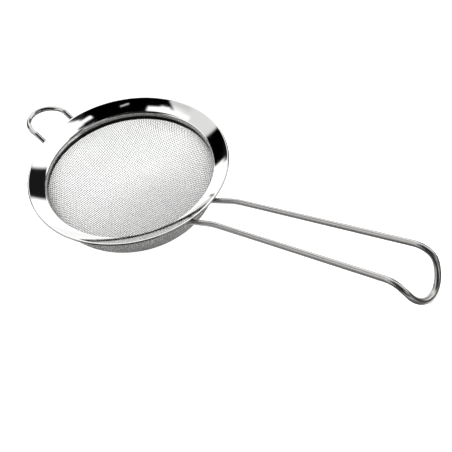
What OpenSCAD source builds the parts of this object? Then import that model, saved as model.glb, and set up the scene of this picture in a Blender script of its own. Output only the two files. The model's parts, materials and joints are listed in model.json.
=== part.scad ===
// Tea strainer: a woven wire bowl held in a pressed rim, with a bent wire handle and a wire rest hook.
// It lies the way it rests on a table, on the bowl and the end of the handle. Millimetres, +Z up.
// Each piece is drawn about the centre of the rim, with the rim level, and then laid down by at_rest().

/* [Rim] */
// Diameter over the rolled edge of the rim
rim_d = 95; // [90:0.5:110]
// Clear diameter inside the skirt, where the bowl opens
mouth_d = 79.4; // [70:0.2:82]
// Thickness of the pressed sheet
sheet_t = 0.4; // [0.3:0.05:0.5]
// Height of the skirt below the lip
skirt_h = 3.6; // [3:0.1:5]
// Centreline radius of the lip between the flange and the skirt
lip_r = 1.1; // [0.8:0.1:1.6]
// Slope of the flange at the lip, in degrees
flange_slope_in = 25; // [20:1:28]
// Slope of the flange at the rolled edge, in degrees
flange_slope_out = 31; // [29:1:36]
// Centreline radius of the rolled edge
hem_r = 0.4; // [0.3:0.05:0.5]

/* [Bowl] */
// Depth of the woven bowl below the skirt
bowl_depth = 21.8; // [12:0.1:26]
// Thickness of the wire cloth, two crossing wires
cloth_t = 0.6; // [0.4:0.05:0.8]
// How flat the bottom of the bowl is
bowl_flatness = 2.12; // [2:0.02:3]
// How upright the wall of the bowl is
bowl_squareness = 2.44; // [2:0.02:3]

/* [Clamp ring] */
// Height of the ring that clamps the cloth against the skirt
ring_h = 3; // [2:0.1:3.2]
// Thickness of the clamp ring
ring_t = 0.5; // [0.4:0.05:0.8]

/* [Handle] */
// Diameter of the handle and hook wire
wire_d = 2.5; // [2:0.1:2.8]
// Distance between the two handle wires at the rim, between centrelines
handle_gap_rim = 15; // [12:0.5:18]
// Distance between the two handle wires at the end bend, between centrelines
handle_gap_end = 19.4; // [18:0.1:24]
// Level distance from the rim's edge to the corner where the end loop turns down
handle_reach = 100.7; // [70:0.1:130]
// Rise of the handle above the plane of the rim, in degrees
handle_rise = 18.3; // [14:0.1:20]
// Turn of the end loop down from the handle, in degrees
end_turn = 75.7; // [50:0.1:85]
// Bend radius, to the centreline, where the end loop turns down
end_bend_r = 8.4; // [6:0.1:10]
// Length of the end loop past its corner, to the centreline
loop_len = 12.4; // [11:0.1:16]

/* [Rest hook] */
// Distance between the two legs of the hook, between centrelines
hook_gap = 19.2; // [16:0.2:22]
// Level distance from the rim's edge to the corner where the hook levels out
hook_rise_len = 5.6; // [4:0.1:8]
// Length of the level part of the hook, to its centreline
hook_len = 11.9; // [9:0.1:16]

/* [Hidden] */
$fn = 48;
play = 0.02;            // gap between pieces that are clamped or welded together
leg_slope = 29.6;       // slope of the wire ends that lie along the underside of the flange
wire_r = wire_d / 2;
tube_sides = 12;        // sides of a wire's cross-section
hem_tail = 1;           // straight end of the sheet past the rolled edge

// ---- paths in a plane: a chain of [length, turn] runs, each a straight or an arc ----
// Point and heading at the end of a run of length l that turns by t degrees
function run_end(p, a, l, t) = t == 0
    ? [p + l * [cos(a), sin(a)], a]
    : let (r = l / (t * PI / 180)) [p + r * [sin(a + t) - sin(a), cos(a) - cos(a + t)], a + t];
// Point and heading at distance s along a chain
function along(s, p, a, runs, i = 0) = let (l = runs[i][0], t = runs[i][1])
    (s <= l || i == len(runs) - 1)
        ? run_end(p, a, s, t * s / l)
        : let (e = run_end(p, a, l, t)) along(s - l, e[0], e[1], runs, i + 1);
function arc_length(r, t) = r * abs(t) * PI / 180;
function total(v, i = 0) = i >= len(v) ? 0 : v[i][0] + total(v, i + 1);
// The outline of a strip of thickness t whose middle passes through stations [point, heading]
function side_of(stations, d) = [for (e = stations) e[0] + d * [-sin(e[1]), cos(e[1])]];
function strip(stations, t) = concat(side_of(stations, t / 2),
    [for (i = [len(stations) - 1 : -1 : 0]) side_of(stations, -t / 2)[i]]);

// ---- rim section: skirt, lip, flange and rolled edge ----
skirt_r = mouth_d / 2 + sheet_t / 2;
flange_end_r = rim_d / 2 - sheet_t / 2 - hem_r * (1 + sin(flange_slope_out));
flange_start_r = skirt_r + lip_r * (1 - sin(flange_slope_in));
flange_arc_r = (flange_end_r - flange_start_r) / (sin(flange_slope_out) - sin(flange_slope_in));
flange_end_z = -sheet_t / 2 - hem_r * (1 - cos(flange_slope_out));
flange_start_z = flange_end_z - flange_arc_r * (cos(flange_slope_in) - cos(flange_slope_out));
skirt_top_z = flange_start_z - lip_r * cos(flange_slope_in);
skirt_low_z = skirt_top_z - skirt_h;
lip_turn = flange_slope_in - 90;
flange_turn = flange_slope_out - flange_slope_in;
rim_runs = [[skirt_h, 0], [arc_length(lip_r, lip_turn), lip_turn],
    [arc_length(flange_arc_r, flange_turn), flange_turn], [arc_length(hem_r, 180), -180], [hem_tail, 0]];
rim_stops = concat([0], [for (u = [0 : 1/8 : 1]) skirt_h + u * rim_runs[1][0]],
    [for (u = [1/8 : 1/8 : 1]) skirt_h + rim_runs[1][0] + u * rim_runs[2][0]],
    [for (u = [1/10 : 1/10 : 1]) skirt_h + rim_runs[1][0] + rim_runs[2][0] + u * rim_runs[3][0]],
    [total(rim_runs)]);
rim_section = [for (s = rim_stops) along(s, [skirt_r, skirt_low_z], 90, rim_runs)];

// ---- bowl section: clamped edge, upright wall and rounded bottom ----
cloth_r = skirt_r + sheet_t / 2 + play + cloth_t / 2;
cloth_below_ring = 0.2;                        // from the clamp ring's top down to the cloth's edge
cloth_top_z = skirt_low_z + ring_h - cloth_below_ring;
function bowl_point(u) = [cloth_r * pow(sin(u), 2 / bowl_flatness),
    skirt_low_z - bowl_depth * pow(cos(u), 2 / bowl_squareness)];
function bowl_heading(u) = let (d = bowl_point(min(u + 0.5, 90)) - bowl_point(max(u - 0.5, 0))) atan2(d[1], d[0]);
bowl_section = concat([for (u = [0 : 3 : 87]) [bowl_point(u), u == 0 ? 0 : bowl_heading(u)]],
    [[[cloth_r, skirt_low_z], 90], [[cloth_r, cloth_top_z], 90]]);

// ---- wires: a side profile of [length, turn] runs, and half the gap between the legs along it ----
// Height of a wire leg's centreline where it passes under the rolled edge
edge_z = -(hem_r * 2 + sheet_t + wire_r + play) / cos(leg_slope);
leg_in = 4.2;                                  // how far in from the rim's edge a leg starts
leg_start = [rim_d / 2 - leg_in, edge_z - leg_in * tan(leg_slope)];
// How much of each straight an arc of radius r takes up when it rounds a corner of t degrees
function tangent_len(r, t) = r * tan(abs(t) / 2);

// Handle: along the flange, out to the end, then down into the end loop
first_out = 11;                                // from the rim's edge to the handle's first corner
first_bend_r = 40;                             // to the centreline
first_turn = handle_rise - leg_slope;
handle_leg = (leg_in + first_out) / cos(leg_slope) - tangent_len(first_bend_r, first_turn);
first_arc = arc_length(first_bend_r, first_turn);
handle_run = (handle_reach - first_out) / cos(handle_rise) - tangent_len(first_bend_r, first_turn)
    - tangent_len(end_bend_r, end_turn);
handle_runs = [[handle_leg, 0], [first_arc, first_turn], [handle_run, 0],
    [arc_length(end_bend_r, end_turn), -end_turn], [loop_len, 0]];
handle_loop_s = handle_leg + first_arc + handle_run + tangent_len(end_bend_r, end_turn);

// Hook: along the flange, then level into its round end
hook_turn = -leg_slope;
hook_bend_r = 3.5;                             // to the centreline
hook_leg = (leg_in + hook_rise_len) / cos(leg_slope) - tangent_len(hook_bend_r, hook_turn);
hook_runs = [[hook_leg, 0], [arc_length(hook_bend_r, hook_turn), hook_turn], [hook_len + hook_bend_r, 0]];
hook_loop_s = hook_leg + tangent_len(hook_bend_r, hook_turn);

// Stations [distance along, half gap] of one leg, from its end under the rim to the tip of the loop
function leg_stops(edge_s, loop_s, gap_a, gap_b, loop_l, n) = concat([[0, gap_a / 2]],
    [for (i = [0 : n]) let (u = i / n) [edge_s + u * (loop_s - edge_s), (gap_a + u * (gap_b - gap_a)) / 2]],
    [for (a = [7.5 : 7.5 : 90]) [loop_s + loop_l * sin(a), gap_b / 2 * cos(a)]]);
// Both legs, as stations [centre, normal], with the loop's tip once
function wire_path(stops, runs, side = 1) = let (
    n = len(stops),
    all_stops = concat(stops, [for (i = [n - 2 : -1 : 0]) [stops[i][0], -stops[i][1]]]))
    [for (e = all_stops) let (p = along(e[0], leg_start, leg_slope, runs))
        [[side * p[0][0], e[1], p[0][1]], [-side * sin(p[1]), 0, cos(p[1])]]];
leg_edge_s = leg_in / cos(leg_slope);
handle_path = wire_path(leg_stops(leg_edge_s, handle_loop_s, handle_gap_rim, handle_gap_end, loop_len, 26),
    handle_runs);
hook_path = wire_path(leg_stops(leg_edge_s, hook_loop_s, hook_gap, hook_gap, hook_len, 5), hook_runs, -1);

// ---- lying on a table: the tilt at which the bowl and the end loop are equally low ----
bowl_mid = [for (e = bowl_section) e[0]];
handle_mid = [for (e = handle_path) [e[0][0], e[0][2]]];
hook_mid = [for (e = hook_path) [e[0][0], e[0][2]]];
function low_of(mid, t, back) = min([for (p = mid) -p[0] * sin(t) + p[1] * cos(t)]) - back;
function gap_at(t) = low_of(handle_mid, t, wire_r) - low_of(bowl_mid, t, cloth_t / 2);
function level_tilt(lo, hi, i = 0) = let (m = (lo + hi) / 2)
    i == 30 ? m : gap_at(m) > 0 ? level_tilt(m, hi, i + 1) : level_tilt(lo, m, i + 1);
rest_tilt = level_tilt(0, 40);
rest_lift = -low_of(bowl_mid, rest_tilt, cloth_t / 2);
function far_x(mid) = [for (p = mid) p[0] * cos(rest_tilt) + p[1] * sin(rest_tilt)];
rest_shift = -(max(far_x(handle_mid)) + min(far_x(hook_mid))) / 2;

// Lays a piece drawn about the rim's centre down on the table, with the origin under its middle
module at_rest() {
    translate([rest_shift, 0, rest_lift]) rotate([0, rest_tilt, 0]) children();
}

// A round wire along a path of [centre, normal] stations
module wire(path) {
    n = len(path);
    rings = [for (i = [0 : n - 1]) let (
        c = path[i][0], up = path[i][1],
        d = path[min(i + 1, n - 1)][0] - path[max(i - 1, 0)][0],
        across = cross(d / norm(d), up))
        for (k = [0 : tube_sides - 1]) c + wire_r * (cos(k * 360 / tube_sides) * up + sin(k * 360 / tube_sides) * across)];
    sides = [for (i = [0 : n - 2]) for (k = [0 : tube_sides - 1]) let (j = (k + 1) % tube_sides)
        [i * tube_sides + k, i * tube_sides + j, (i + 1) * tube_sides + j, (i + 1) * tube_sides + k]];
    polyhedron(rings, concat([[for (k = [tube_sides - 1 : -1 : 0]) k]], sides,
        [[for (k = [0 : tube_sides - 1]) (n - 1) * tube_sides + k]]), convexity = 4);
}

module rim() {
    color("silver") at_rest() rotate_extrude() polygon(strip(rim_section, sheet_t));
}

module mesh_bowl() {
    // the cloth's section closes on the axis, where its two faces meet the centreline
    color("gainsboro") at_rest() rotate_extrude() polygon(strip(bowl_section, cloth_t));
}

module clamp_ring() {
    ring_in = cloth_r + cloth_t / 2 + play;
    edge = 0.12;
    color("lightgray") at_rest() rotate_extrude() translate([ring_in, skirt_low_z])
        polygon([[0, edge], [edge, 0], [ring_t - edge, 0], [ring_t, edge],
            [ring_t, ring_h - edge], [ring_t - edge, ring_h], [edge, ring_h], [0, ring_h - edge]]);
}

module handle_wire() {
    color("darkgray") at_rest() wire(handle_path);
}

module rest_hook() {
    color("darkgray") at_rest() wire(hook_path);
}

// Spot welds
weld_d = 1.6;
weld_in = 2.9;                                 // from the rim's edge to the weld's middle
weld_gap = 0.1;                                // left between a weld and the flange's hollow
weld_h = 2 * hem_r - play - weld_gap;          // height of a weld above the top of the wire

// A pair of spot welds between the wire legs and the underside of the flange, side = 1 at the handle
module leg_welds(gap, side) {
    for (y = [-gap / 2, gap / 2])
        translate([side * (rim_d / 2 - weld_in), y, edge_z - weld_in * tan(leg_slope)])
            rotate([0, -side * leg_slope, 0])
                difference() {
                    cylinder(d = weld_d, h = wire_r + weld_h);
                    rotate([0, 90, 0]) cylinder(r = wire_r + play, h = 2 * weld_d, center = true);
                }
}
module handle_welds() {
    color("dimgray") at_rest() leg_welds(handle_gap_rim, 1);
}

module hook_welds() {
    color("dimgray") at_rest() leg_welds(hook_gap, -1);
}

rim();
mesh_bowl();
clamp_ring();
handle_wire();
rest_hook();
handle_welds();
hook_welds();
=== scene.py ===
import json
import math

import bpy
import numpy as np
from mathutils import Matrix, Vector


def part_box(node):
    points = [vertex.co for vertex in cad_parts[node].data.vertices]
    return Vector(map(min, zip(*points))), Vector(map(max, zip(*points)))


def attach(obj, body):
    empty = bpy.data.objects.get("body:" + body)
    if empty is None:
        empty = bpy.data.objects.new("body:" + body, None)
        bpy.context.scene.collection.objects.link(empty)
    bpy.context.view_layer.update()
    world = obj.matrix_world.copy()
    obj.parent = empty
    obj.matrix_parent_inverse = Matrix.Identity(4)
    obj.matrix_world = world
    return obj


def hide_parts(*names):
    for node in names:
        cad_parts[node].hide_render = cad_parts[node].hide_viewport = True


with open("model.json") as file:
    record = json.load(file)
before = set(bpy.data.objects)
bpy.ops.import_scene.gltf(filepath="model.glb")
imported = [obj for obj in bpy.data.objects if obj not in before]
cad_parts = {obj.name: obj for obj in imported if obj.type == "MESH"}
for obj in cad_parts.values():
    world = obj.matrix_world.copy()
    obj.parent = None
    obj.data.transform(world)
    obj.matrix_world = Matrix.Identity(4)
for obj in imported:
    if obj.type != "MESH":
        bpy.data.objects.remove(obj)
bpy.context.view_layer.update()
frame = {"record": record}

# The strainer's pieces are built in millimetres about the centre of the rim, with the rim level,
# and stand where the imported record's mouth mount says the rim is.
MM = 0.001
mouth = next(m for m in frame["record"]["mounts"] if m["name"] == "mouth")
MOUTH_R = mouth["dims"]["r_mm"]
SKIRT_H = mouth["dims"]["length_mm"]
rim_low, rim_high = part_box("rim")
RIM_R = (rim_high.y - rim_low.y) / 2 / MM

# ---- sizes, in millimetres and degrees ----
# the rim's sheet, with the slopes of its flange at the lip and at the rolled hem
SHEET_T = 0.4
LIP_R = 1.1
FLANGE_IN, FLANGE_OUT = 25, 31
HEM_R = 0.4
HEM_TAIL = 1.0
# left between pieces that touch
PLAY = 0.02
# the bowl, a superellipse turned about its axis, and its woven cloth
BOWL_DEPTH = 21.8
BOWL_FLATNESS, BOWL_SQUARENESS = 2.12, 2.44
CLOTH_WIRE = 0.3
PITCH = 1.0
WEAVE_ANGLE = 2
# the clamp ring
RING_H, RING_T, RING_EDGE = 3.0, 0.5, 0.12
CLOTH_BELOW_RING = 0.2
# the wires of the handle and the hook, from their ends under the flange outwards
WIRE_R = 1.25
LEG_SLOPE, LEG_IN = 29.6, 4.2
GAP_RIM, GAP_END = 15, 19.4
HANDLE_REACH, HANDLE_RISE = 100.7, 18.3
FIRST_OUT, FIRST_BEND_R = 11, 40
END_TURN, END_BEND_R, LOOP_LEN = 75.7, 8.4, 12.4
HOOK_GAP, HOOK_RISE_LEN, HOOK_LEN, HOOK_BEND_R = 19.2, 5.6, 11.9, 3.5
WELD_IN, WELD_R = 2.9, 0.8


def sin(a):
    return math.sin(math.radians(a))


def cos(a):
    return math.cos(math.radians(a))


def tan(a):
    return math.tan(math.radians(a))


# ---- paths in a plane: a chain of (length, turn) runs, each a straight or an arc ----
def run_end(p, a, length, turn):
    """Point and heading at the end of one run that starts at p with heading a."""
    if turn == 0:
        return (p[0] + length * cos(a), p[1] + length * sin(a)), a
    r = length / math.radians(turn)
    return (p[0] + r * (sin(a + turn) - sin(a)), p[1] + r * (cos(a) - cos(a + turn))), a + turn


def along(s, p, a, runs):
    """Point and heading at distance s along a chain."""
    for length, turn in runs[:-1]:
        if s <= length:
            return run_end(p, a, s, turn * s / length)
        p, a = run_end(p, a, length, turn)
        s -= length
    length, turn = runs[-1]
    return run_end(p, a, s, turn * s / length)


def arc_length(r, turn):
    return r * math.radians(abs(turn))


def tangent_len(r, turn):
    return r * tan(abs(turn) / 2)


# ---- rim section ----
skirt_r = MOUTH_R + SHEET_T / 2
flange_end_r = RIM_R - SHEET_T / 2 - HEM_R * (1 + sin(FLANGE_OUT))
flange_start_r = skirt_r + LIP_R * (1 - sin(FLANGE_IN))
flange_arc_r = (flange_end_r - flange_start_r) / (sin(FLANGE_OUT) - sin(FLANGE_IN))
flange_end_z = -SHEET_T / 2 - HEM_R * (1 - cos(FLANGE_OUT))
flange_start_z = flange_end_z - flange_arc_r * (cos(FLANGE_IN) - cos(FLANGE_OUT))
skirt_top_z = flange_start_z - LIP_R * cos(FLANGE_IN)
skirt_low_z = skirt_top_z - SKIRT_H
lip_turn = FLANGE_IN - 90
flange_turn = FLANGE_OUT - FLANGE_IN
rim_runs = [
    (SKIRT_H, 0),
    (arc_length(LIP_R, lip_turn), lip_turn),
    (arc_length(flange_arc_r, flange_turn), flange_turn),
    (arc_length(HEM_R, 180), -180),
    (HEM_TAIL, 0),
]

# The rim's own frame in the row: up is the mouth's axis, and the handle points along +X
up = Vector(mouth["axis"]).normalized()
side = Vector((0, 1, 0))
ahead = side.cross(up)
TO_ROW = Matrix((ahead, side, up)).transposed().to_4x4()
TO_ROW.translation = Vector(mouth["pos_m"]) - up * (skirt_low_z + SKIRT_H / 2) * MM


# ---- mesh building ----
def put_in_scene(name, data):
    thing = bpy.data.objects.new(name, data)
    bpy.context.scene.collection.objects.link(thing)
    return thing


def add_piece(name, verts, faces, node_name, materials,
              grain=None, seam=None, material_index=None, sharp=40):
    """A smooth piece from points in the rim's frame, which rides on the part and stands for a CAD node."""
    mesh = bpy.data.meshes.new(name)
    mesh.from_pydata((np.asarray(verts) * MM).tolist(), [], faces)
    mesh.transform(TO_ROW)
    mesh.update()
    for material in materials:
        mesh.materials.append(material)
    if material_index is not None:
        mesh.polygons.foreach_set("material_index", np.asarray(material_index, np.int32))
    if grain is not None:
        layer = mesh.attributes.new("grain", "FLOAT_VECTOR", "POINT")
        layer.data.foreach_set("vector", np.asarray(grain, np.float32).ravel())
    # how dark each point is painted: on the rim this is painted shade, a painted reflection and heat tint
    if seam is not None:
        layer = mesh.attributes.new("seam", "FLOAT", "POINT")
        layer.data.foreach_set("value", np.asarray(seam, np.float32))
    mesh.shade_smooth()
    if sharp:
        mesh.set_sharp_from_angle(angle=math.radians(sharp))
    piece = put_in_scene(name, mesh)
    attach(piece, "root")
    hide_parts(node_name)


# Grain coordinates change fast across the fine lines of the metal and slowly along them
TURNED_GRAIN = 3.0
WIRE_GRAIN_LEN = 14.0
WIRE_LINE_W = 0.1


def lathe(outline, turns, line_w):
    """Verts, faces and grain of a closed outline of (r, z) points turned about the rim's axis.
    The grain's lines run round the turning and are about line_w wide."""
    outline = np.asarray(outline, float)
    n = len(outline)
    step = np.linalg.norm(np.roll(outline, -1, 0) - outline, axis=1)
    dist = np.concatenate([[0], np.cumsum(step)[:-1]])
    a = np.linspace(0, 2 * np.pi, turns, endpoint=False)[:, None]
    grid = np.zeros((turns, n))
    r, z = outline.T
    verts = np.stack([r * np.cos(a), r * np.sin(a), z + grid], -1)
    grain = np.stack([TURNED_GRAIN * np.cos(a) + grid, TURNED_GRAIN * np.sin(a) + grid,
                      dist / line_w + grid], -1)
    i, j = np.meshgrid(np.arange(turns), np.arange(n), indexing="ij")
    i2, j2 = (i + 1) % turns, (j + 1) % n
    faces = np.stack([i * n + j, i2 * n + j, i2 * n + j2, i * n + j2], -1).reshape(-1, 4)
    return verts.reshape(-1, 3), faces[:, ::-1].tolist(), grain.reshape(-1, 3)


def tangents(points):
    t = np.gradient(points, axis=0)
    return t / np.linalg.norm(t, axis=1)[:, None]


def rings_round(points, t, normals, radius, angles):
    """A ring of points round each point of a path, from the normal's side on."""
    across = np.cross(t, normals)
    across /= np.linalg.norm(across, axis=1)[:, None]
    out = np.cross(across, t)
    ring = out[:, None] * np.cos(angles)[:, None] + across[:, None] * np.sin(angles)[:, None]
    return points[:, None] + ring * radius


def tube_faces(rings, sides, base=0):
    """Faces between the rings of a tube whose points start at number base, with one flat face on each end."""
    i, j = np.meshgrid(np.arange(rings - 1), np.arange(sides), indexing="ij")
    j2 = (j + 1) % sides
    quads = np.stack([i * sides + j, i * sides + j2, (i + 1) * sides + j2, (i + 1) * sides + j], -1)
    faces = (base + quads.reshape(-1, 4)).tolist()
    faces.append([base + k for k in range(sides)][::-1])
    faces.append([base + (rings - 1) * sides + k for k in range(sides)])
    return faces


# Rings of a wire's bevelled end: how far each lies beyond the path, and its share of the wire's radius
BEVEL = [(0.28, 0.72), (0.18, 0.9)]
WIRE_SIDES = 28


def wire(points, normals):
    """Verts, faces and grain of a round wire along points. The grain's lines run along it."""
    points = np.asarray(points, float)
    t = tangents(points)
    front = [points[0] - t[0] * beyond for beyond, _ in BEVEL]
    back = [points[-1] + t[-1] * beyond for beyond, _ in BEVEL[::-1]]
    shares = [share for _, share in BEVEL]
    scale = np.concatenate([shares, np.ones(len(points)), shares[::-1]])
    more = len(BEVEL)
    points = np.concatenate([front, points, back])
    normals = np.concatenate([[normals[0]] * more, normals, [normals[-1]] * more])
    t = np.concatenate([[t[0]] * more, t, [t[-1]] * more])
    angles = np.arange(WIRE_SIDES) * 2 * np.pi / WIRE_SIDES
    verts = rings_round(points, t, normals, (WIRE_R * scale)[:, None, None], angles)
    dist = np.concatenate([[0], np.cumsum(np.linalg.norm(np.diff(points, axis=0), axis=1))])
    grid = np.zeros((len(points), WIRE_SIDES))
    lines = WIRE_R / WIRE_LINE_W
    grain = np.stack([dist[:, None] / WIRE_GRAIN_LEN + grid, lines * np.cos(angles) + grid,
                      lines * np.sin(angles) + grid], -1)
    return verts.reshape(-1, 3), tube_faces(len(points), WIRE_SIDES), grain.reshape(-1, 3)


# ---- materials ----
NOISE_LOW, NOISE_HIGH = 0.3, 0.7
PATCHES_PER_M = 90.0
RELIEF_M = 0.00002


def node(nt, kind, **values):
    n = nt.nodes.new(kind)
    for key, value in values.items():
        setattr(n, key, value)
    return n


def noise(nt, where, scale, detail):
    n = node(nt, "ShaderNodeTexNoise")
    n.inputs["Scale"].default_value = scale
    n.inputs["Detail"].default_value = detail
    nt.links.new(where, n.inputs["Vector"])
    return n.outputs["Fac"]


def blend(nt, factor, a, b):
    """Colour a where factor is 0 and colour b where it is 1. a may be a colour or another node's output."""
    n = node(nt, "ShaderNodeMix", data_type="RGBA")
    n.inputs["B"].default_value = (*b, 1)
    if isinstance(a, tuple):
        n.inputs["A"].default_value = (*a, 1)
    else:
        nt.links.new(a, n.inputs["A"])
    nt.links.new(factor, n.inputs["Factor"])
    return n.outputs["Result"]


def steel(name, colour, roughness):
    """Bare steel with an even surface."""
    material = bpy.data.materials.new(name)
    material.use_nodes = True
    surface = material.node_tree.nodes["Principled BSDF"]
    surface.inputs["Metallic"].default_value = 1.0
    surface.inputs["Base Color"].default_value = (*colour, 1)
    surface.inputs["Roughness"].default_value = roughness
    return material


def grained_steel(name, colour, roughness, spread, bump, tint, streaks=1.0, patches=0.0, seam=None):
    """Steel with a grain: fine lines vary its roughness by spread, its colour by tint and its relief by bump,
    and broad patches vary its roughness.
    Its last argument is a dark colour painted where the attribute of that name is 1: painted shade, a painted
    reflection and heat tint on the rim."""
    material = steel(name, colour, roughness)
    nt = material.node_tree
    surface = nt.nodes["Principled BSDF"]
    lines = noise(nt, node(nt, "ShaderNodeAttribute", attribute_name="grain").outputs["Vector"], streaks, 3.0)
    cloud = noise(nt, node(nt, "ShaderNodeTexCoord").outputs["Object"], PATCHES_PER_M, 2.0)

    both = node(nt, "ShaderNodeMath", operation="MULTIPLY_ADD")
    both.inputs[1].default_value = patches
    nt.links.new(cloud, both.inputs[0])
    nt.links.new(lines, both.inputs[2])
    rough = node(nt, "ShaderNodeMapRange")
    rough.inputs["From Min"].default_value = NOISE_LOW
    rough.inputs["From Max"].default_value = NOISE_HIGH + patches
    rough.inputs["To Min"].default_value = roughness - spread
    rough.inputs["To Max"].default_value = roughness + spread
    nt.links.new(both.outputs[0], rough.inputs["Value"])
    nt.links.new(rough.outputs["Result"], surface.inputs["Roughness"])

    shade = blend(nt, lines, tuple(c * (1 - tint) for c in colour), colour)
    if seam:
        in_painted_dark_and_heat_tint = node(nt, "ShaderNodeAttribute", attribute_name="seam").outputs["Fac"]
        shade = blend(nt, in_painted_dark_and_heat_tint, shade, seam)
    nt.links.new(shade, surface.inputs["Base Color"])

    relief = node(nt, "ShaderNodeBump")
    relief.inputs["Strength"].default_value = bump
    relief.inputs["Distance"].default_value = RELIEF_M
    nt.links.new(lines, relief.inputs["Height"])
    nt.links.new(relief.outputs["Normal"], surface.inputs["Normal"])
    return material


# its dark colour gives the rim's painted shade at the skirt's foot, painted reflection along the hem and heat
# tint over the welds
polished = grained_steel("polished_sheet", (0.87, 0.87, 0.86), 0.045,
                         spread=0.02, bump=0.08, tint=0.05, patches=0.5, seam=(0.02, 0.018, 0.016))
ring_steel = grained_steel("ring_band", (0.74, 0.74, 0.73), 0.2, spread=0.06, bump=0.3, tint=0.15)
drawn = grained_steel("drawn_wire", (0.57, 0.56, 0.55), 0.27, spread=0.06, bump=0.3, tint=0.2, patches=0.3)
bright_drawn = grained_steel("bright_drawn_wire", (0.6, 0.59, 0.58), 0.07,
                             spread=0.03, bump=0.2, tint=0.12, patches=0.3)
weld = grained_steel("weld_metal", (0.22, 0.2, 0.19), 0.38, spread=0.12, bump=0.6, tint=0.5, streaks=3.0)
cloth_steels = [
    steel("cloth_wire_bright", (0.7, 0.7, 0.69), 0.22),
    steel("cloth_wire_plain", (0.62, 0.62, 0.61), 0.26),
    steel("cloth_wire_dull", (0.55, 0.55, 0.54), 0.3),
]

# ---- rim ----
RIM_TURNS = 400
RIM_LINE_W = 0.14
# steps in the skirt, the lip, the flange, the hem and its tail
RIM_STEPS = [12, 14, 26, 20, 3]
# painted shade: the foot of the skirt, in the recess under the lip where it grips the cloth, is painted dark
# up to the first of these heights and clean from the second on
PAINTED_SHADE_LOW, PAINTED_SHADE_HIGH = 2.0, 2.7
# painted reflection: the outermost line of the hem is painted darker, standing in for a dark line reflected
# along the roll
HEM_LINE, HEM_LINE_W = 0.4, 0.8
# the heat of the handle's spot welds has marked the flange above them
HEAT_MARK, HEAT_MARK_R, HEAT_MARK_STRETCH = 0.8, 1.4, 1.6


def rim_stations():
    """Points and headings along the middle of the rim's sheet."""
    start, out = 0.0, [0.0]
    for (length, _), steps in zip(rim_runs, RIM_STEPS):
        out += [start + length * (k + 1) / steps for k in range(steps)]
        start += length
    return [along(s, (skirt_r, skirt_low_z), 90, rim_runs) for s in out]


def rim_painted_dark_and_heat_tint(section, verts):
    """How dark each point of the rim is painted, from 0 to 1: painted shade at the foot of the skirt, a
    painted reflection along the hem's edge, and heat tint over the handle's welds.
    """
    r, z = np.array(section).T
    # painted shade on the foot of the skirt, fading out upwards
    rise = np.clip((z - skirt_low_z - PAINTED_SHADE_LOW) / (PAINTED_SHADE_HIGH - PAINTED_SHADE_LOW), 0, 1)
    foot = np.where(r < flange_start_r, 1 - rise, 0)
    # painted reflection along the outer edge of the hem
    edge = HEM_LINE * np.clip((r - RIM_R) / HEM_LINE_W + 1, 0, 1)
    seam = np.tile(np.maximum(foot, edge), RIM_TURNS)
    for y in (-GAP_RIM / 2, GAP_RIM / 2):
        off = np.hypot((verts[:, 0] - RIM_R + WELD_IN) / HEAT_MARK_STRETCH, verts[:, 1] - y)
        seam = np.maximum(seam, HEAT_MARK * np.clip(HEAT_MARK_R - off, 0, 1))
    return seam


def make_rim():
    half = SHEET_T / 2
    stations = rim_stations()
    left = [(p[0] - half * sin(a), p[1] + half * cos(a)) for p, a in stations]
    right = [(p[0] + half * sin(a), p[1] - half * cos(a)) for p, a in stations]
    section = left + right[::-1]
    verts, faces, grain = lathe(section, RIM_TURNS, RIM_LINE_W)
    add_piece("rim_pressed", verts, faces, "rim", [polished],
              grain=grain, seam=rim_painted_dark_and_heat_tint(section, verts))


make_rim()

# ---- clamp ring ----
RING_TURNS = 300
RING_LINE_W = 0.2
RING_WALL_STEPS = 5
cloth_r = skirt_r + SHEET_T / 2 + PLAY + CLOTH_WIRE
ring_in = cloth_r + CLOTH_WIRE + PLAY


def make_clamp_ring():
    """A band with rounded edges. Its outline starts low on its inside and runs round by its outside."""
    e, t, h = RING_EDGE, RING_T, RING_H
    outline = [(0, e), (e / 3, e / 3), (e, 0), (t - e, 0), (t - e / 3, e / 3), (t, e)]
    outline += [(t, h * k / RING_WALL_STEPS) for k in range(1, RING_WALL_STEPS)]
    outline += [(t, h - e), (t - e / 3, h - e / 3), (t - e, h), (e, h), (e / 3, h - e / 3), (0, h - e)]
    placed = [(ring_in + r, skirt_low_z + z) for r, z in outline]
    verts, faces, grain = lathe(placed, RING_TURNS, RING_LINE_W)
    add_piece("clamp_ring_band", verts, faces, "clamp_ring", [ring_steel], grain=grain)


make_clamp_ring()

# ---- handle and rest hook ----
PATH_STEP = 0.8
LOOP_STEP = 3
edge_z = -(2 * HEM_R + SHEET_T + WIRE_R + PLAY) / cos(LEG_SLOPE)
leg_start = (RIM_R - LEG_IN, edge_z - LEG_IN * tan(LEG_SLOPE))

first_turn = HANDLE_RISE - LEG_SLOPE
first_arc = arc_length(FIRST_BEND_R, first_turn)
first_tangent = tangent_len(FIRST_BEND_R, first_turn)
end_tangent = tangent_len(END_BEND_R, END_TURN)
handle_leg = (LEG_IN + FIRST_OUT) / cos(LEG_SLOPE) - first_tangent
handle_run = (HANDLE_REACH - FIRST_OUT) / cos(HANDLE_RISE) - first_tangent - end_tangent
handle_runs = [
    (handle_leg, 0),
    (first_arc, first_turn),
    (handle_run, 0),
    (arc_length(END_BEND_R, END_TURN), -END_TURN),
    (LOOP_LEN, 0),
]
handle_loop_s = handle_leg + first_arc + handle_run + end_tangent

hook_tangent = tangent_len(HOOK_BEND_R, LEG_SLOPE)
hook_leg = (LEG_IN + HOOK_RISE_LEN) / cos(LEG_SLOPE) - hook_tangent
hook_runs = [
    (hook_leg, 0),
    (arc_length(HOOK_BEND_R, LEG_SLOPE), -LEG_SLOPE),
    (HOOK_LEN + HOOK_BEND_R, 0),
]
hook_loop_s = hook_leg + hook_tangent


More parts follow.
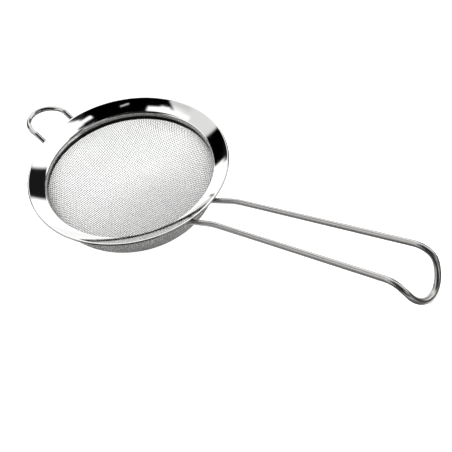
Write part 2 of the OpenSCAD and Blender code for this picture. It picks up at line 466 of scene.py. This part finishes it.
def wire_path(runs, loop_s, gap_a, gap_b, loop_len, facing):
    """Points and normals along both legs and the loop. facing is 1 at the handle and -1 at the hook."""
    edge_s = LEG_IN / cos(LEG_SLOPE)
    steps = int((loop_s - edge_s) / PATH_STEP)
    shares = [k / steps for k in range(steps + 1)]
    leg = [(0.0, gap_a / 2)]
    leg += [(edge_s + u * (loop_s - edge_s), (gap_a + u * (gap_b - gap_a)) / 2) for u in shares]
    leg += [(loop_s + loop_len * sin(a), gap_b / 2 * cos(a)) for a in range(LOOP_STEP, 91, LOOP_STEP)]
    both = leg + [(s, -y) for s, y in leg[-2::-1]]
    points, normals = [], []
    for s, y in both:
        (x, z), a = along(s, leg_start, LEG_SLOPE, runs)
        points.append((facing * x, y, z))
        normals.append((-facing * sin(a), 0, cos(a)))
    return points, normals


def make_handle():
    verts, faces, grain = wire(*wire_path(handle_runs, handle_loop_s, GAP_RIM, GAP_END, LOOP_LEN, 1))
    add_piece("handle_wire_bent", verts, faces, "handle_wire", [drawn], grain=grain)


def make_hook():
    verts, faces, grain = wire(*wire_path(hook_runs, hook_loop_s, HOOK_GAP, HOOK_GAP, HOOK_LEN, -1))
    add_piece("rest_hook_bent", verts, faces, "rest_hook", [bright_drawn], grain=grain)


make_handle()
make_hook()

# ---- spot welds: a squashed nugget of metal between each wire leg and the flange ----
NUGGET_ROWS, NUGGET_COLS = 14, 26
# half sizes along and across the leg, in weld radii, half height in millimetres, and place in wire radii
NUGGET_ALONG, NUGGET_ACROSS, NUGGET_HIGH, NUGGET_UP = 1.5, 1.35, 0.62, 0.85
# lumps in the nugget's outline: size, number, and how they shift from one nugget to the other
LUMPS = [(0.07, 3, 1), (0.05, 5, -2)]
NUGGET_GRAIN = 2


def nugget(y, facing):
    """Verts, faces and grain of the nugget on the leg at y."""
    verts, faces, grain = [], [], []
    for i in range(NUGGET_ROWS + 1):
        for j in range(NUGGET_COLS):
            lat = math.pi * (i / NUGGET_ROWS - 0.5)
            lon = 2 * math.pi * j / NUGGET_COLS
            lump = 1 + sum(high * math.sin(number * lon + shift * y) for high, number, shift in LUMPS)
            a = WELD_R * NUGGET_ALONG * lump * math.cos(lat) * math.cos(lon)
            b = WELD_R * NUGGET_ACROSS * lump * math.cos(lat) * math.sin(lon)
            c = WIRE_R * NUGGET_UP + NUGGET_HIGH * math.sin(lat)
            x = facing * (RIM_R - WELD_IN + a * cos(LEG_SLOPE) - c * sin(LEG_SLOPE))
            z = edge_z - WELD_IN * tan(LEG_SLOPE) + a * sin(LEG_SLOPE) + c * cos(LEG_SLOPE)
            verts.append((x, y + b, z))
            grain.append((a * NUGGET_GRAIN, b * NUGGET_GRAIN, c * NUGGET_GRAIN))
    for i in range(NUGGET_ROWS):
        for j in range(NUGGET_COLS):
            low, high, j2 = i * NUGGET_COLS, (i + 1) * NUGGET_COLS, (j + 1) % NUGGET_COLS
            quad = [low + j, low + j2, high + j2, high + j]
            faces.append(quad if facing > 0 else quad[::-1])
    return verts, faces, grain


def make_welds(name, node_name, gap, facing):
    verts, faces, grain = [], [], []
    for y in (-gap / 2, gap / 2):
        more_verts, more_faces, more_grain = nugget(y, facing)
        faces += [[len(verts) + k for k in face] for face in more_faces]
        verts += more_verts
        grain += more_grain
    add_piece(name, verts, faces, node_name, [weld], grain=grain, sharp=0)


make_welds("handle_weld_nuggets", "handle_welds", GAP_RIM, 1)
make_welds("hook_weld_nuggets", "hook_welds", HOOK_GAP, -1)

# ---- woven bowl ----
# The bowl's meridian by distance from its lowest point. It goes on upwards as the cylinder that is clamped.
CYLINDER_LEN = 12
MERIDIAN_POINTS = 6001
u = np.radians(np.linspace(0, 90, MERIDIAN_POINTS))
bowl_r = np.append(cloth_r * np.sin(u) ** (2 / BOWL_FLATNESS), cloth_r)
bowl_z = skirt_low_z - BOWL_DEPTH * np.cos(u) ** (2 / BOWL_SQUARENESS)
bowl_z = np.append(bowl_z, skirt_low_z + CYLINDER_LEN)
bowl_s = np.concatenate([[0], np.cumsum(np.hypot(np.diff(bowl_r), np.diff(bowl_z)))])
edge_s = bowl_s[-2] + RING_H - CLOTH_BELOW_RING
# the net is worked out a little past the cloth's edge
NET_MARGIN = 4
solve_s = edge_s + NET_MARGIN
reach = int(solve_s / PITCH) + 1
size = 2 * reach + 1
NORMAL_STEP = 0.4
NEWTON_STEPS, LONGEST_MOVE, SMALL, MIN_DET = 8, 0.4, 1e-4, 1e-6
PITCH_ERROR = 0.02


def polar(p):
    """Length and direction of flat vectors."""
    s = np.hypot(p[..., 0], p[..., 1])
    return s, p / np.maximum(s, 1e-9)[..., None]


def on_bowl(p):
    """The bowl's middle surface at p, a flat vector whose length is the distance from the lowest point."""
    s, flat = polar(p)
    r, z = np.interp(s, bowl_s, bowl_r), np.interp(s, bowl_s, bowl_z)
    return np.concatenate([flat * r[..., None], z[..., None]], -1)


def bowl_normal(p):
    """The bowl's normal at p, towards its inside."""
    s, flat = polar(p)
    low, high = np.maximum(s - NORMAL_STEP, 0), s + NORMAL_STEP
    dr = np.interp(high, bowl_s, bowl_r) - np.interp(low, bowl_s, bowl_r)
    dz = np.interp(high, bowl_s, bowl_z) - np.interp(low, bowl_s, bowl_z)
    n = np.concatenate([-flat * dz[..., None], dr[..., None]], -1)
    return n / np.linalg.norm(n, axis=-1)[..., None]


def one_pitch_from(a, b, p):
    """Newton's method for the flat vectors near p whose places on the bowl are one pitch from a and b."""
    for _ in range(NEWTON_STEPS):
        x = on_bowl(p)
        dx = (on_bowl(p + (SMALL, 0)) - x) / SMALL
        dy = (on_bowl(p + (0, SMALL)) - x) / SMALL
        off_a = ((x - a) ** 2).sum(1) - PITCH ** 2
        off_b = ((x - b) ** 2).sum(1) - PITCH ** 2
        ax, ay = 2 * ((x - a) * dx).sum(1), 2 * ((x - a) * dy).sum(1)
        bx, by = 2 * ((x - b) * dx).sum(1), 2 * ((x - b) * dy).sum(1)
        det = ax * by - ay * bx
        det = np.where(np.abs(det) < MIN_DET, MIN_DET, det)
        move = np.stack([(by * off_a - ay * off_b) / det, (ax * off_b - bx * off_a) / det], -1)
        p = p - np.clip(move, -LONGEST_MOVE, LONGEST_MOVE)
    return p


def drape():
    """Grid of the cloth's crossings as flat vectors. Cloth drapes with its wires unstretched, so every
    crossing is one pitch from its neighbours along both wires. The grid grows outwards from the two wires
    that cross at the lowest point, one diagonal after another in each quarter, and is nan past its edge."""
    crossing = np.full((size, size, 2), np.nan)
    warp = np.array([cos(WEAVE_ANGLE), sin(WEAVE_ANGLE)])
    weft = np.array([-sin(WEAVE_ANGLE), cos(WEAVE_ANGLE)])
    for k in range(-reach, reach + 1):
        crossing[reach + k, reach] = k * PITCH * warp
        crossing[reach, reach + k] = k * PITCH * weft
    for step_i, step_j in ((-1, -1), (-1, 1), (1, -1), (1, 1)):
        for total in range(2, 2 * reach + 1):
            i = np.arange(max(1, total - reach), min(reach, total - 1) + 1)
            gi, gj = reach + step_i * i, reach + step_j * (total - i)
            pa, pb = crossing[gi - step_i, gj], crossing[gi, gj - step_j]
            known = ~(np.isnan(pa[:, 0]) | np.isnan(pb[:, 0]))
            gi, gj, pa, pb = gi[known], gj[known], pa[known], pb[known]
            if not len(gi):
                continue
            a = on_bowl(pa)
            p = one_pitch_from(a, on_bowl(pb), pa + pb - crossing[gi - step_i, gj - step_j])
            off = np.abs(np.linalg.norm(on_bowl(p) - a, axis=1) - PITCH)
            good = (off < PITCH_ERROR) & (np.hypot(p[:, 0], p[:, 1]) < solve_s)
            crossing[gi[good], gj[good]] = p[good]
    return crossing


CLOTH_SAMPLES = 4
CLOTH_SIDES = 6
CLOTH_PARTS = 3
SHORTEST = 4


def woven_wires(grid, over):
    """Points, normals and number of each wire along the grid's first axis, which passes over and under
    those across it. over is 1 or -1, and says which way it starts."""
    wires = []
    for j in range(size):
        line = grid[:, j]
        known = ~np.isnan(line[:, 0])
        for first in np.flatnonzero(known & ~np.append(False, known[:-1])):
            last = first
            while last + 1 < size and known[last + 1]:
                last += 1
            if last - first < 2:
                continue
            t = np.arange(first, last + 1e-6, 1 / CLOTH_SAMPLES)
            whole = np.arange(first, last + 1)
            p = np.stack([np.interp(t, whole, line[first:last + 1, k]) for k in (0, 1)], -1)
            inside = np.flatnonzero(np.hypot(p[:, 0], p[:, 1]) <= edge_s)
            for part in np.split(inside, np.flatnonzero(np.diff(inside) > 1) + 1):
                if len(part) < SHORTEST:
                    continue
                n = bowl_normal(p[part])
                wave = over * CLOTH_WIRE / 2 * np.cos(np.pi * (t[part] + j))
                wires.append((on_bowl(p[part]) + n * wave[:, None], n, j))
    return wires


def make_cloth(grid, over, name, first_shade):
    """The wires of one direction, as a few pieces of about equal size."""
    groups = [[] for _ in range(CLOTH_PARTS)]
    sizes = [0] * CLOTH_PARTS
    for one in woven_wires(grid, over):
        smallest = sizes.index(min(sizes))
        groups[smallest].append(one)
        sizes[smallest] += len(one[0])
    angles = (np.arange(CLOTH_SIDES) + 0.5) * 2 * np.pi / CLOTH_SIDES
    for g, group in enumerate(groups):
        verts, faces, shades, base = [], [], [], 0
        for points, normals, j in group:
            rings = rings_round(points, tangents(points), normals, CLOTH_WIRE / 2, angles)
            verts.append(rings.reshape(-1, 3))
            more_faces = tube_faces(len(points), CLOTH_SIDES, base)
            faces += more_faces
            # an uneven order of three shades, as wire from different drawings
            shades += [(j * 7 + j // 3 + first_shade) % len(cloth_steels)] * len(more_faces)
            base += len(points) * CLOTH_SIDES
        add_piece(f"{name}_{g + 1}", np.concatenate(verts), faces, "mesh_bowl", cloth_steels,
                  material_index=shades, sharp=0)


crossings = drape()
make_cloth(crossings, 1, "cloth_warp", 0)
make_cloth(crossings.transpose(1, 0, 2), -1, "cloth_weft", 1)

# ---- stage ----
FLOOR_HALF = 6.0
FLOOR_COLOUR = (0.92, 0.92, 0.92, 1)
FLOOR_GLOW = 0.7


def make_floor():
    """A plain white floor. The steel doesn't show it, but shows the studio below the horizon instead."""
    h = FLOOR_HALF
    mesh = bpy.data.meshes.new("floor")
    mesh.from_pydata([(-h, -h, 0), (h, -h, 0), (h, h, 0), (-h, h, 0)], [], [(0, 1, 2, 3)])
    material = bpy.data.materials.new("floor_white")
    material.use_nodes = True
    surface = material.node_tree.nodes["Principled BSDF"]
    surface.inputs["Base Color"].default_value = FLOOR_COLOUR
    surface.inputs["Roughness"].default_value = 0.9
    surface.inputs["Emission Color"].default_value = (1, 1, 1, 1)
    surface.inputs["Emission Strength"].default_value = FLOOR_GLOW
    mesh.materials.append(material)
    floor = put_in_scene("floor", mesh)
    floor.visible_glossy = False


make_floor()

# ---- studio: the light all round, which the polished steel shows ----
# Brightness of the sky and of the ground, at the horizon and straight below, how many times brighter it
# lights matt surfaces, and the least that the camera sees
SKY, GROUND, GROUND_BELOW, FLOOR_LIGHT, BACKDROP = 1.35, 0.05, 0.16, 1.5, 1.05
# Heights of a direction, from -1 straight down to 1, between which the ground turns into sky and the
# brightness straight below into that at the horizon
HORIZON = (-0.1, 0.06)
GROUND_FADE = (-0.95, -0.3)
# Dark and light strips, each over the ones before it: its two ends as (azimuth, elevation) in degrees,
# its half width and how soft its edges are as slopes from its middle, and its brightness
STRIPS = [
    # the table and the low parts of the walls
    ((-95, -24), (15, -24), 0.16, 0.06, 0.9),
    ((92, -20), (150, -20), 0.45, 0.1, 0.85),
    ((140, -22), (220, -22), 0.5, 0.15, 0.85),
    ((118, 4), (168, 4), 0.3, 0.06, 1.1),
    ((122, -3), (215, -3), 0.035, 0.02, 0.2),
    # grey panels in the sky
    ((-172, 55), (-125, 71), 0.3, 0.14, 0.85),
    ((-130, 63), (-92, 67), 0.09, 0.06, 0.7),
    ((175, 46), (-172, 56), 0.26, 0.13, 0.42),
    # the dark side of the room
    ((-95, 29), (12, 29), 0.6, 0.05, 0.02),
    ((-105, 3), (-25, 3), 0.16, 0.03, 0.02),
    ((5, 18), (27, 17), 0.3, 0.05, 0.02),
    ((75, 16), (98, 12), 0.28, 0.05, 0.02),
    ((-95, 69), (19, 57), 0.2, 0.02, 0.0),
    ((8, 60.5), (34, 58.5), 0.05, 0.02, 0.0),
    # lights in front of it
    ((-57, 75.5), (-104, 74.3), 0.03, 0.015, SKY),
    ((-80, 77), (-150, 71), 0.07, 0.025, SKY),
    ((-31, 67.8), (-19, 67.1), 0.007, 0.005, 0.9),
    ((13, 60.5), (30, 56.5), 0.022, 0.01, SKY),
    ((24, 57.5), (46, 52), 0.045, 0.015, SKY),
    # dark things round the rest of the room
    ((76, 39), (103, 34), 0.19, 0.035, 0.01),
    ((167, 39), (190, 55), 0.17, 0.025, 0.0),
    ((179, 24), (200, 36), 0.27, 0.03, 0.01),
    ((206, 14), (250, 14), 0.34, 0.2, 0.4),
    # light from the table under the bowl
    ((28, -58), (80, -49), 0.13, 0.08, 1.7),
    ((80, -49), (108, -43), 0.13, 0.08, 1.3),
]

world = bpy.data.worlds.new("studio")
bpy.context.scene.world = world
world.use_nodes = True
studio = world.node_tree
ray = node(studio, "ShaderNodeTexCoord").outputs["Generated"]


def heading(azimuth, elevation):
    return Vector((cos(azimuth) * cos(elevation), sin(azimuth) * cos(elevation), sin(elevation)))


def maths(operation, *values):
    """One sum on numbers or outputs of other nodes."""
    n = node(studio, "ShaderNodeMath", operation=operation)
    for k, value in enumerate(values):
        if isinstance(value, (int, float)):
            n.inputs[k].default_value = value
        else:
            studio.links.new(value, n.inputs[k])
    return n.outputs[0]


def dot(direction):
    """How far each ray goes in a direction."""
    n = node(studio, "ShaderNodeVectorMath", operation="DOT_PRODUCT")
    studio.links.new(ray, n.inputs[0])
    n.inputs[1].default_value = direction
    return n.outputs["Value"]


def smooth_step(value, low, high, at_low, at_high):
    n = node(studio, "ShaderNodeMapRange", interpolation_type="SMOOTHSTEP")
    studio.links.new(value, n.inputs["Value"])
    n.inputs["From Min"].default_value = low
    n.inputs["From Max"].default_value = high
    n.inputs["To Min"].default_value = at_low
    n.inputs["To Max"].default_value = at_high
    return n.outputs["Result"]


# A direction is behind a strip where it goes less than this far towards the strip's middle
BEHIND = 0.1


def strip_mask(start, end, half_width, soft):
    """1 inside a strip and 0 outside it and in the half of the room that it isn't in."""
    a, b = heading(*start), heading(*end)
    middle = (a + b).normalized()
    axis = (b - a).normalized()
    half_length = (b - a).length / (a + b).length
    depth = maths("MAXIMUM", dot(middle), BEHIND / 2)
    inside = maths("GREATER_THAN", dot(middle), BEHIND)
    for direction, half in ((axis, half_length), (middle.cross(axis), half_width)):
        off = maths("ABSOLUTE", maths("DIVIDE", dot(direction), depth))
        inside = maths("MULTIPLY", inside, smooth_step(off, half - soft, half + soft, 1, 0))
    return inside


def studio_light():
    """Brightness of the studio in every direction."""
    height = dot((0, 0, 1))
    sky = smooth_step(height, *HORIZON, 0, SKY)
    ground = smooth_step(height, *GROUND_FADE, GROUND_BELOW, GROUND)
    light = maths("ADD", sky, ground)
    for start, end, half_width, soft, level in STRIPS:
        mask = strip_mask(start, end, half_width, soft)
        rest = maths("MULTIPLY", light, maths("SUBTRACT", 1.0, mask))
        light = maths("ADD", rest, maths("MULTIPLY", mask, level))
    return light


path = node(studio, "ShaderNodeLightPath")
on_matt = maths("ADD", maths("MULTIPLY", path.outputs["Is Diffuse Ray"], FLOOR_LIGHT - 1), 1.0)
to_camera = maths("MULTIPLY", path.outputs["Is Camera Ray"], BACKDROP)
brightness = maths("MAXIMUM", maths("MULTIPLY", studio_light(), on_matt), to_camera)
background = studio.nodes["Background"]
background.inputs["Color"].default_value = (1, 1, 1, 1)
studio.links.new(brightness, background.inputs["Strength"])

# ---- camera ----
# It looks at TARGET from DISTANCE metres away. VIEW_AZIMUTH is from the -Y side towards +X.
TARGET = Vector((0.0203, -0.0091, 0.0200))
VIEW_AZIMUTH, VIEW_ELEVATION, VIEW_ROLL = 56.9, 34.58, 25.81
DISTANCE = 0.3300
back = heading(VIEW_AZIMUTH - 90, VIEW_ELEVATION)
level_right = (-back).cross(Vector((0, 0, 1))).normalized()
level_up = level_right.cross(-back)
camera_up = level_up * cos(VIEW_ROLL) + level_right * sin(VIEW_ROLL)
camera_right = (-back).cross(camera_up)
lens = bpy.data.cameras.new("camera")
lens.lens = 63.72
lens.sensor_width = 36
lens.clip_start = 0.01
lens.clip_end = 20
camera = put_in_scene("camera", lens)
turned = Matrix((camera_right, camera_up, back)).transposed().to_4x4()
camera.matrix_world = Matrix.Translation(TARGET + back * DISTANCE) @ turned
bpy.context.scene.camera = camera

bpy.context.scene.view_settings.view_transform = "Standard"
bpy.context.scene.view_settings.look = "None"
